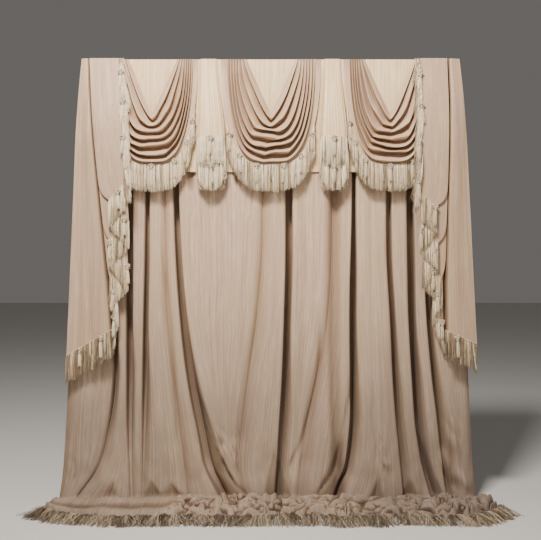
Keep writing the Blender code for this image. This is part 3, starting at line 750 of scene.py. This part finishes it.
def puddle_crumple(x, way):
    """Share of the heaped cloth's height, in folds with sharp creases, and the painted shade in these."""
    flow = way * 3.2 + 2.0 * noise(x / 0.11, way * 1.3, 11) + 0.7 * noise(x / 0.05, way * 3.2, 12)
    folds = np.abs(np.sin(np.pi * flow))
    lobes = np.abs(noise(x / 0.1 + way * 1.2, way * 2.2, 17)) ** 0.7
    tiny = noise(x / 0.022, way * 11.0, 13)
    heap = 0.05 + folds ** 0.8 * (0.45 + 0.75 * lobes) + 0.35 * lobes + 0.05 * tiny
    crevice = clamp(1.0 - folds / 0.48) * (0.6 + 0.8 * lobes) + 0.6 * clamp(1.0 - lobes / 0.25)
    roll = 1.0 - step_up(x, *ROLL_ENDS)
    smooth_roll = 0.52 + 0.16 * np.sin(way * 9.0) + 0.08 * noise(x / 0.16, way * 3.0, 14)
    # painted shade under the roll
    under_roll = 0.3 * clamp(1.0 - (smooth_roll - 0.34) / 0.22)
    return lerp(heap, smooth_roll, roll * 0.88), lerp(crevice, under_roll, roll)


# Fringe on the floor
FLOOR_STRANDS, FLOOR_RADIUS = 950, 0.0016  # strands in a metre, and their radius
FLOOR_CLUMP, FLOOR_CLUMP_DRIFT = 0.019, 0.07
FLOOR_POINTS = 5
LEAN_LEFT, LEAN_RIGHT = -0.22, 0.36  # outwards, at the hem's corners


def add_floor_fringe(hem):
    """Strands that lie out over the floor from the hem, heaped on each other."""
    random = np.random.default_rng(20)
    count = int(line_length(hem) * FLOOR_STRANDS)
    roots, _, along = resample(hem, count)
    clump = np.floor(along / FLOOR_CLUMP + 0.5 * noise(along / FLOOR_CLUMP_DRIFT, 0.0, 21))
    mine = random.normal(0.0, 1.0, (int(clump.max()) + 3, 4))[clump.astype(int) + 1]
    corner = np.where(roots[:, 0] < 0.0, LEAN_LEFT, LEAN_RIGHT) * np.abs(roots[:, 0] / HEM_HALF) ** 9
    aim = corner + 0.2 * mine[:, 0] + random.normal(0.0, 0.24, count)
    length = FRINGE_DROP * (0.93 + 0.06 * mine[:, 1] + random.normal(0.0, 0.05, count))
    heading = np.stack([np.sin(np.arctan(aim)), -np.cos(np.arctan(aim))], axis=1)
    stack = random.uniform(0.0, 1.0, count) ** 1.3
    height = 0.006 + 0.022 * stack + 0.008 * np.maximum(0.0, mine[:, 3])
    paths = np.zeros((count, FLOOR_POINTS, 3))
    for k, t in enumerate(shares(FLOOR_POINTS)):
        curl = 0.007 * np.sin(t * 6.0 + mine[:, 2] * 2.0) * t
        arch = (1.0 - t ** 2.5) * (0.35 + 0.65 * min(1.0, 4.0 * t))
        paths[:, k, :2] = roots[:, :2] + heading * (length * t)[:, None]
        paths[:, k, 0] += curl + 0.004 * np.sin(t * 9.0 + along * 90.0)
        paths[:, k, 2] = -DROP + 0.0018 + height * arch
    # strands lying higher on the heap are painted lighter, as painted light; the rest is random tone
    tones = clamp(0.33 + 0.4 * (stack - 0.4) + 0.28 * mine[:, 2] + random.normal(0.0, 0.24, count))
    return add_strands("curtain_fringe_strands", paths, FLOOR_RADIUS, tones, STRAW, "curtain_fringe")


def make_curtain():
    grid, *looks = curtain_grid()
    cloth = add_cloth("curtain_cloth", "curtain", grid, SILK, 1, *looks)
    fringe = add_floor_fringe(grid[-1])
    braid = add_heading("curtain_fringe_braid", grid[-1] + (0.0, -0.004, 0.005), 22, STRAW)


# Pelmet
def make_pelmet():
    x = np.linspace(-PELMET_HALF, PELMET_HALF, 160)[None, :]
    z = np.linspace(0.0, -PELMET_DROP, 46)[:, None]
    grid = np.stack(np.broadcast_arrays(x, -CLOTH / 2, z), axis=-1)
    cloth = add_cloth("pelmet_cloth", "pelmet", grid, PALE, 2)


# Swags
SWAGS = (
    # name     axis    half   fringe's upper ends
    ("left", -0.8, 0.308, -0.33),
    ("centre", 0.003, 0.34, -0.43),
    ("right", 0.806, 0.308, -0.33),
)
PLEATS = 7
V_HALF, V_DROP, V_ROUND = 0.165, 0.37, 1.05
SWAG_DROP, HEM_ROUND, HEM_SQUARE = 0.722, 3.4, 0.5
LAST_FOLD, LAST_FOLD_HALF = 0.965, 0.88
SWAG_BULGE = 0.058
PLEAT_FRONT, PLEAT_ARM, PLEAT_FRONT_TOP = 0.026, 0.015, 0.0062
PLEAT_BACK = 0.66  # how far a valley goes back, as a share of the bulge
PLEAT_LEAN = 0.42
PLEAT_NARROW = 0.95
PLEAT_KINK = 0.02
PLEAT_ROWS, BAND_ROWS = 28, 13
SWAG_COLUMNS = 124
ARM_PAINTED_SHADE_LEFT, ARM_PAINTED_SHADE_RIGHT, FOOT_PAINTED_SHADE = 1.15, 0.8, 0.3  # painted shade in the pleats' valleys, on each arm and at the foot


def swag_grid(axis, half, seed):
    """Points of a swag, and the painted shade at each.

    side goes from the V's edge, over the pleats and the plain band, to the hem."""
    side = np.concatenate([np.linspace(0.0, LAST_FOLD, PLEATS * PLEAT_ROWS + 1),
                           np.linspace(LAST_FOLD, 1.0, BAND_ROWS + 1)[1:]])[:, None]
    across = np.linspace(-1.0, 1.0, SWAG_COLUMNS + 1)[None, :]
    pleats = clamp(side / LAST_FOLD)
    loose = (1.0 - across ** 4) * np.minimum(1.0, 5.0 * pleats) * np.minimum(1.0, 5.0 * (1.0 - pleats))
    phase = pleats * PLEATS + loose * (0.26 * noise(across * 2.2, pleats * 4.5, seed)
                                       + 0.1 * noise(across * 6.0, pleats * 7.0, seed + 3))
    wave = ((1.0 - np.cos(2.0 * np.pi * phase)) / 2) ** PLEAT_NARROW
    wave = np.where(side > LAST_FOLD, 0.0, wave)
    uneven = 1.0 + 0.3 * noise(across * 2.5, pleats * 7.0, seed + 1)
    v = side + PLEAT_LEAN * wave / PLEATS * LAST_FOLD * lerp(1.0, uneven, 0.5)
    turned = smooth(v * 1.8)
    round_off = lerp(V_ROUND, HEM_ROUND, turned)
    square_off = lerp(1.0, HEM_SQUARE, turned)
    angle = np.pi / 2 * np.abs(across) ** lerp(1.0, 1.6, clamp(v))
    q = np.sign(across) * np.sin(angle) ** (2.0 / round_off)
    ease = np.maximum(0.0, np.cos(angle)) ** (2.0 * square_off)
    inner = lerp(V_HALF, LAST_FOLD_HALF * half, v / LAST_FOLD)
    outer = lerp(LAST_FOLD_HALF * half, half, (v - LAST_FOLD) / (1.0 - LAST_FOLD))
    width = np.where(v < LAST_FOLD, inner, outer)
    drop = lerp(V_DROP, SWAG_DROP, v)
    bulge = SWAG_BULGE * ease * (0.35 + 0.65 * np.sin(np.pi * np.minimum(1.0, 0.1 + 0.75 * side)))
    top = lerp(PLEAT_FRONT_TOP, PLEAT_ARM, smooth(drop * ease / 0.12))
    depth = lerp(top, PLEAT_FRONT, ease ** 1.2) * wave * uneven
    hollow = PLEAT_BACK * bulge * (1.0 - wave) * (pleats > 0.0) * (side < LAST_FOLD)
    hollow = hollow * step_up(pleats, 0.0, 0.06) * (1.0 - step_up(pleats, 0.96, 1.0))
    pucker = 0.002 * ease * noise(across * 9.0, side * 16.0, seed + 2)
    kink = np.abs(noise(across * 3.0 + pleats * 0.9, pleats * PLEATS * 0.7, seed + 5)) - 0.3
    x = axis + width * q
    y = SWAG_BACK - bulge - depth + hollow + pucker
    z = -drop * ease + PLEAT_KINK * kink * loose * ease
    # painted shade in the pleats' valleys, most on the arms, with an even darkening and painted shade near
    # the ends by the trumpets
    arms = np.where(across < 0.0, ARM_PAINTED_SHADE_LEFT, ARM_PAINTED_SHADE_RIGHT)
    painted_hollow_shade = lerp(arms, FOOT_PAINTED_SHADE, ease) * (1.0 - wave) ** 2.2
    painted_hollow_shade = painted_hollow_shade * (side < LAST_FOLD) * step_up(pleats, 0.0, 0.05)
    painted_hollow_shade = painted_hollow_shade + 0.1 + 0.3 * step_up(np.abs(across), 0.93, 1.0)
    return np.stack([x, y, z], axis=-1), painted_hollow_shade


def make_swags():
    for number, (name, axis, half, fringe_top) in enumerate(SWAGS):
        grid, painted_hollow_shade = swag_grid(axis, half, 30 + 5 * number)
        cloth = add_cloth("swag_cloth_" + name, "swag_" + name, grid, SILK, 4 + number, deep=painted_hollow_shade,
                          turned=True)
        hem = grid[-1]
        hem = hem[hem[:, 2] < fringe_top]
        fringe = add_fringe("swag_fringe_" + name, hem + (0.0, -0.003, 0.004), 40 + number)
        braid = add_heading("swag_braid_" + name, hem + (0.0, -0.005, 0.0), 50 + number)
        tufts = add_tufts("swag_tufts_" + name, spaced_places(hem, TUFT_PITCH, 60 + number), 70 + number)


# Trumpets
TRUMPETS = (
    # name    top x   hem x   top half  hem half
    ("left", -0.422, -0.4, 0.058, 0.094),
    ("right", 0.42, 0.428, 0.056, 0.09),
)
TRUMPET_FRONT, TRUMPET_BACK = -0.54, -0.716  # height of the hem
TRUMPET_DEPTH_TOP, TRUMPET_DEPTH = 0.005, 0.034
TRUMPET_ROWS, TRUMPET_COLUMNS = 90, 161
TRUMPET_CLOSE, TRUMPET_SQUARE = 0.955, 0.75  # share of a full turn, and power of its corners
PLEAT_AT, PLEAT_HALF = 0.335, 0.03  # a pleat at each side, in half turns
# tone of the trumpets' fringe, painted lighter than the other fringes as painted light
TRUMPET_PAINTED_LIGHT_TONE = 0.78
LOW_STRANDS, LOW_OUT, LOW_ROUND = 1800, 0.046, 0.34  # the low tier, which hangs below the back


def trumpet_grid(top_x, hem_x, top_half, hem_half):
    """Points of a trumpet, open behind, and the painted shade at its sides and in its pleats."""
    turn = np.linspace(-1.0, 1.0, TRUMPET_COLUMNS)[None, :]
    share = shares(TRUMPET_ROWS)[:, None]
    front = 0.5 + 0.5 * np.cos(np.pi * turn)
    z = lerp(TRUMPET_BACK, TRUMPET_FRONT, smooth(1.25 * front)) * share
    open_out = smooth(z / TRUMPET_FRONT)
    half = lerp(top_half, hem_half, open_out)
    deep = lerp(TRUMPET_DEPTH_TOP, TRUMPET_DEPTH, open_out)
    angle = np.pi * turn * TRUMPET_CLOSE
    side = np.sign(turn) * np.abs(np.sin(angle)) ** TRUMPET_SQUARE
    face = np.sign(np.cos(angle)) * np.abs(np.cos(angle)) ** TRUMPET_SQUARE
    middle = SWAG_BACK - deep - 0.006 * open_out
    fold = np.exp(-((np.abs(turn) - PLEAT_AT) / PLEAT_HALF) ** 2)
    x = lerp(top_x, hem_x, open_out) + half * side
    y = middle - deep * face + fold * lerp(0.002, 0.01, open_out)
    y = y + 0.0012 * noise(turn * 9.0, share * 2.0, 77)
    # painted shade at the trumpet's sides and in its pleats
    sides = 0.9 * step_up(np.abs(turn), 0.36, 0.5) + 0.5 * fold
    return np.stack([x, y, z], axis=-1), sides


def make_trumpets():
    for number, (name, *sizes) in enumerate(TRUMPETS):
        grid, sides = trumpet_grid(*sizes)
        cloth = add_cloth("trumpet_cloth_" + name, "trumpet_" + name, grid, PALE, 8 + number,
                          deep=0.5 * sides)
        hem = grid[-1] + (0.0, -0.002, 0.003)
        quarter = len(hem) // 4
        front, left, right = hem[quarter:-quarter], hem[:quarter], hem[-quarter:]
        for place, part, seed in (("front_" + name, front, 80), ("back_%s_a" % name, left, 84),
                                  ("back_%s_b" % name, right, 88)):
            add_fringe("trumpet_fringe_" + place, part, seed + number, tone=TRUMPET_PAINTED_LIGHT_TONE)
        back = (left[0] + right[-1]) / 2
        across = np.linspace(-0.9, 0.9, 40)
        low = np.stack([back[0] + sizes[-1] * across, np.full_like(across, back[1] - LOW_OUT),
                        back[2] + 0.012 * across ** 2], axis=1)
        count = int(line_length(low) * LOW_STRANDS)
        rounded = FRINGE_DROP * (1.0 - LOW_ROUND * np.abs(np.linspace(-1.0, 1.0, count)) ** 3)
        add_fringe("trumpet_fringe_low_" + name, low, 100 + number, LOW_STRANDS,
                                drop=rounded, tone=TRUMPET_PAINTED_LIGHT_TONE, solid=False)
        braids = [add_heading("trumpet_braid_" + name, hem, 92 + number),
                  add_heading("trumpet_braid_low_" + name, low, 94 + number)]
        lowest = hem[len(hem) // 2]
        places = [lowest + (0.0, -0.01, -0.008), (back[0], lowest[1] - 0.012, TRUMPET_BACK - 0.008)]
        tufts = add_tufts("trumpet_tufts_" + name, places, 96 + number)


# Tails
TAIL_LEFT = (
    # top x   hem x   hem z
    (-1.018, -0.967, -0.848),
    (-1.225, -1.073, -0.968),
    (-1.014, -0.95, -1.113),
    (-1.226, -1.078, -1.234),
    (-1.016, -0.96, -1.4),
    (-1.228, -1.076, -1.501),
    (-1.04, -1.036, -1.636),
)
TAIL_LEFT_PANEL = ((-1.15, -1.069, -1.839), (-1.281, -1.374, -2.012))
TAIL_RIGHT = (
    (1.018, 1.002, -0.928),
    (1.195, 1.102, -1.008),
    (1.016, 1.005, -1.153),
    (1.196, 1.12, -1.254),
    (1.018, 1.028, -1.38),
    (1.198, 1.149, -1.487),
    (1.06, 1.1, -1.636),
)
TAIL_RIGHT_PANEL = ((1.15, 1.184, -1.846), (1.283, 1.389, -1.934))
# Inner edge of the outer panel, where it swells in front of the pleats: height, x
CREST_LEFT = ((0.0, -1.242), (-0.4, -1.202), (-1.0, -1.147), (-1.5, -1.103), (-1.84, -1.08),
              (-2.1, -1.07))
CREST_RIGHT = ((0.0, 1.22), (-0.55, 1.203), (-1.0, 1.194), (-1.5, 1.19), (-1.84, 1.194),
               (-2.1, 1.2))
TIP_LEAN_LEFT, TIP_LEAN_RIGHT = 0.092, 0.015  # how far the pleats' outer folds lean in, in a metre
TIP_POWER = 28.0  # how late these folds turn from there to the hem
PANEL_SWELL_TOP, PANEL_SWELL = 0.016, 0.054
TAIL_PITCH_TOP, TAIL_PITCH = 0.0034, 0.0082
TAIL_TOP = SWAG_BACK - 0.006 - STEP
TAIL_BACK = ((0.0, TAIL_TOP), (-0.1, -0.029), (-0.25, -0.05), (-0.45, -0.066), (-0.6, -0.07),
             (-0.8, -0.064), (-1.3, -0.05), (-2.2, -0.038))
LAYER_COLUMNS, TURN_COLUMNS, JOIN_COLUMNS, PANEL_COLUMNS = 18, 6, 24, 84
TAIL_ROWS = 122
GROOVE, GROOVE_HALF = 0.034, 0.008  # groove where the panel lies over the pleats, also darkened with painted shade
PAINTED_TIP_LINE, PAINTED_TIP_LINE_HALF = 0.005, 0.0085  # a painted shadow line just outside the pleats' outer folds
TAIL_PAINTED_SHADE = 1.3


def tail_columns(turns, panel):
    """Columns of the pleated cloth: top x, hem x, hem z, layer from the front, lean of the fold."""
    columns = []
    for k in range(1, len(turns)):
        before, here = np.array(turns[k - 1]), np.array(turns[k])
        for share in np.linspace(0.0, 1.0, LAYER_COLUMNS, endpoint=False):
            columns.append((*lerp(before, here, share), k - 1.0, 0.0))
        tip = math.copysign(1.0, here[0]) * math.copysign(1.0, abs(here[0]) - abs(before[0]))
        for share in np.linspace(0.0, 1.0, TURN_COLUMNS, endpoint=False):
            angle = math.pi * share
            columns.append((*here, k - 0.5 - 0.5 * math.cos(angle), tip * math.sin(angle)))
    last = len(turns) - 1.0
    stops = [np.array(turns[-1]), np.array(panel[0]), np.array(panel[1])]
    for before, here, count in zip(stops, stops[1:], (JOIN_COLUMNS, PANEL_COLUMNS)):
        for share in np.linspace(0.0, 1.0, count, endpoint=False):
            columns.append((*lerp(before, here, share), last, 0.0))
    columns.append((*stops[2], last, 0.0))
    return np.array(columns)


def tail_grid(columns, turns, crest, lean, seed):
    """Points of a tail, and the painted shade at each."""
    layers = len(turns) - 1.0
    top_x, hem_x, hem_z, layer, tip = columns.T
    share = shares(TAIL_ROWS)[:, None]
    z = hem_z * share
    pitch = lerp(TAIL_PITCH_TOP, TAIL_PITCH, smooth(z / -0.5))
    panel = (layer > layers - 0.5) * 1.0
    innermost, outermost = abs(turns[0][0]), abs(turns[1][0])
    outer = clamp((np.abs(top_x) - innermost) / (outermost - innermost)) * (1.0 - panel)
    inward = math.copysign(lean, turns[0][0])
    folded = lerp(top_x + inward * z, hem_x, share ** TIP_POWER)
    x = lerp(lerp(top_x, hem_x, share), folded, outer) + tip * pitch * 0.5
    heights = np.array(TAIL_BACK)[::-1]
    back = curve_through(heights[:, 0], heights[:, 1], z)
    y = back - (layers - layer) * pitch
    loose = smooth(z / -0.3)
    y = y + loose * pitch * 0.28 * noise(x / 0.05, z / 0.5, seed) * (1.0 - panel)
    crest = np.array(crest)[::-1]
    past = np.abs(x) - np.abs(np.interp(z, crest[:, 0], crest[:, 1]))
    swell = lerp(PANEL_SWELL_TOP, PANEL_SWELL, smooth(z / -0.6))
    wide = lerp(0.06, 0.26, -z / 2.0)
    rise = clamp((past + 0.012) / 0.022)
    fall = 1.0 - 0.7 * smooth(past / wide)
    y = y - panel * swell * np.sqrt(clamp(1.0 - (1.0 - rise) ** 2)) * fall
    groove = panel * np.exp(-((past + 0.013) / GROOVE_HALF) ** 2)
    y = np.minimum(y + groove * smooth(z / -0.35) * GROOVE, TAIL_TOP)
    # painted shade: a dark line just outside the pleats' outer folds, on the pleats' turned edges and along
    # the groove
    edge = outermost + lean * z
    line = panel * np.exp(-((np.abs(x) - edge - PAINTED_TIP_LINE) / PAINTED_TIP_LINE_HALF) ** 2) * (z > turns[5][2])
    line = np.maximum(line, (np.abs(tip) > 0.3) * outer * (share < 0.9))
    y = y + panel * loose * ripples(x, z, ((0.007, 0.075, 0.9, seed + 1), (0.002, 0.03, 0.4, seed)))
    return np.stack([x, y, z], axis=-1), TAIL_PAINTED_SHADE * np.maximum(groove, line)


def make_tails():
    for number, (name, turns, panel, crest, lean) in enumerate((
            ("left", TAIL_LEFT, TAIL_LEFT_PANEL, CREST_LEFT, TIP_LEAN_LEFT),
            ("right", TAIL_RIGHT, TAIL_RIGHT_PANEL, CREST_RIGHT, TIP_LEAN_RIGHT))):
        grid, deep = tail_grid(tail_columns(turns, panel), turns, crest, lean, 100 + number)
        # an even darkening, and painted shade: an even amount with dark lines along the groove and the
        # pleats' folds
        cloth = add_cloth("tail_cloth_" + name, "tail_" + name, grid, SILK, 11 + number, 0.12,
                          0.14 + deep)
        hem = grid[-1]
        split = len(hem) - PANEL_COLUMNS - 1
        inward = -math.copysign(1.0, turns[0][0])
        cascade, outer = hem[:split + 1], hem[split:]
        front = (0.0, -0.002, 0.003)
        zigzag = add_fringe("tail_cascade_fringe_" + name, cascade + front, 110 + number, depth=0.006)
        # the hem fringe is painted darker than the rest of the tail's fringe, as painted shade
        lower = add_fringe("tail_hem_fringe_" + name, outer + front, 114 + number, fan=0.04,
                           uneven=0.05, tone=0.02)
        edge = grid[:, 0] + (0.014 * inward, -0.006, 0.0)
        edge[:, 0] += 0.01 * noise(edge[:, 2] / 0.09, 0.0, 150 + number)
        side = add_fringe("tail_edge_fringe_" + name, edge, 118 + number, 1300, 0.12 * inward,
                          drop=0.15, fan=0.07, depth=0.018, spread=0.016)
        braids = [add_heading("tail_edge_braid_" + name, edge, 122 + number),
                  add_heading("tail_braid_" + name, hem + front, 126 + number)]
        places = np.concatenate([
            spaced_places(line, pitch, seed + number)
            for line, pitch, seed in ((edge, 0.19, 130), (cascade, 0.19, 134), (outer, 0.17, 138))])
        tufts = add_tufts("tail_tufts_" + name, places, 142 + number)


# Floor, light and camera
FLOOR_REACH = 30.0
AREA_LIGHTS = (
    # name  place             aim               size        power  colour
    ("key", (-0.9, -3.2, 2.7), (0.0, 0.0, -1.0), (1.2, 0.9), 560.0, (1.0, 0.94, 0.86)),
    ("fill", (1.4, -5.2, 0.2), (0.0, 0.0, -1.5), (2.4, 2.4), 40.0, (1.0, 0.95, 0.88)),
)
WORLD_COLOUR, WORLD_POWER = (1.0, 0.95, 0.89, 1.0), 0.14


def add_floor():
    corners = ((-1, -1), (1, -1), (1, 1), (-1, 1))
    points = [(x * FLOOR_REACH, y * FLOOR_REACH, -DROP) for x, y in corners]
    mesh = bpy.data.meshes.new("floor")
    mesh.from_pydata(points, [], [(0, 1, 2, 3)])
    n = Nodes("floor")
    n.surface(Base_Color=(0.62, 0.61, 0.6, 1.0), Roughness=0.85)
    mesh.materials.append(n.material)
    add_object("floor", mesh)


def add_area(name, place, aim, size, power, colour):
    light = bpy.data.lights.new(name, "AREA")
    light.shape = "RECTANGLE"
    light.size, light.size_y = size
    light.energy = power
    light.color = colour
    made = add_object(name, light)
    made.location = place
    way = np.array(aim, float) - np.array(place, float)
    made.rotation_euler = (math.atan2(math.hypot(way[0], way[1]), -way[2]), 0.0,
                           math.atan2(way[1], way[0]) - math.pi / 2)


def add_lights():
    for row in AREA_LIGHTS:
        add_area(*row)
    world = bpy.data.worlds.new("studio")
    world.use_nodes = True
    background = world.node_tree.nodes["Background"]
    background.inputs[0].default_value = WORLD_COLOUR
    background.inputs[1].default_value = WORLD_POWER
    bpy.context.scene.world = world


def add_camera():
    data = bpy.data.cameras.new("camera")
    data.sensor_width = SENSOR
    data.lens = SENSOR * FOCAL_PIXELS / PHOTO_WIDTH
    made = add_object("camera", data)
    made.location = (0.0, CAMERA_Y, CAMERA_Z)
    made.rotation_euler = (math.pi / 2, 0.0, 0.0)
    bpy.context.scene.camera = made


add_camera()
add_lights()
add_floor()
make_curtain()
make_pelmet()
make_swags()
make_trumpets()
make_tails()

bpy.context.view_layer.update()
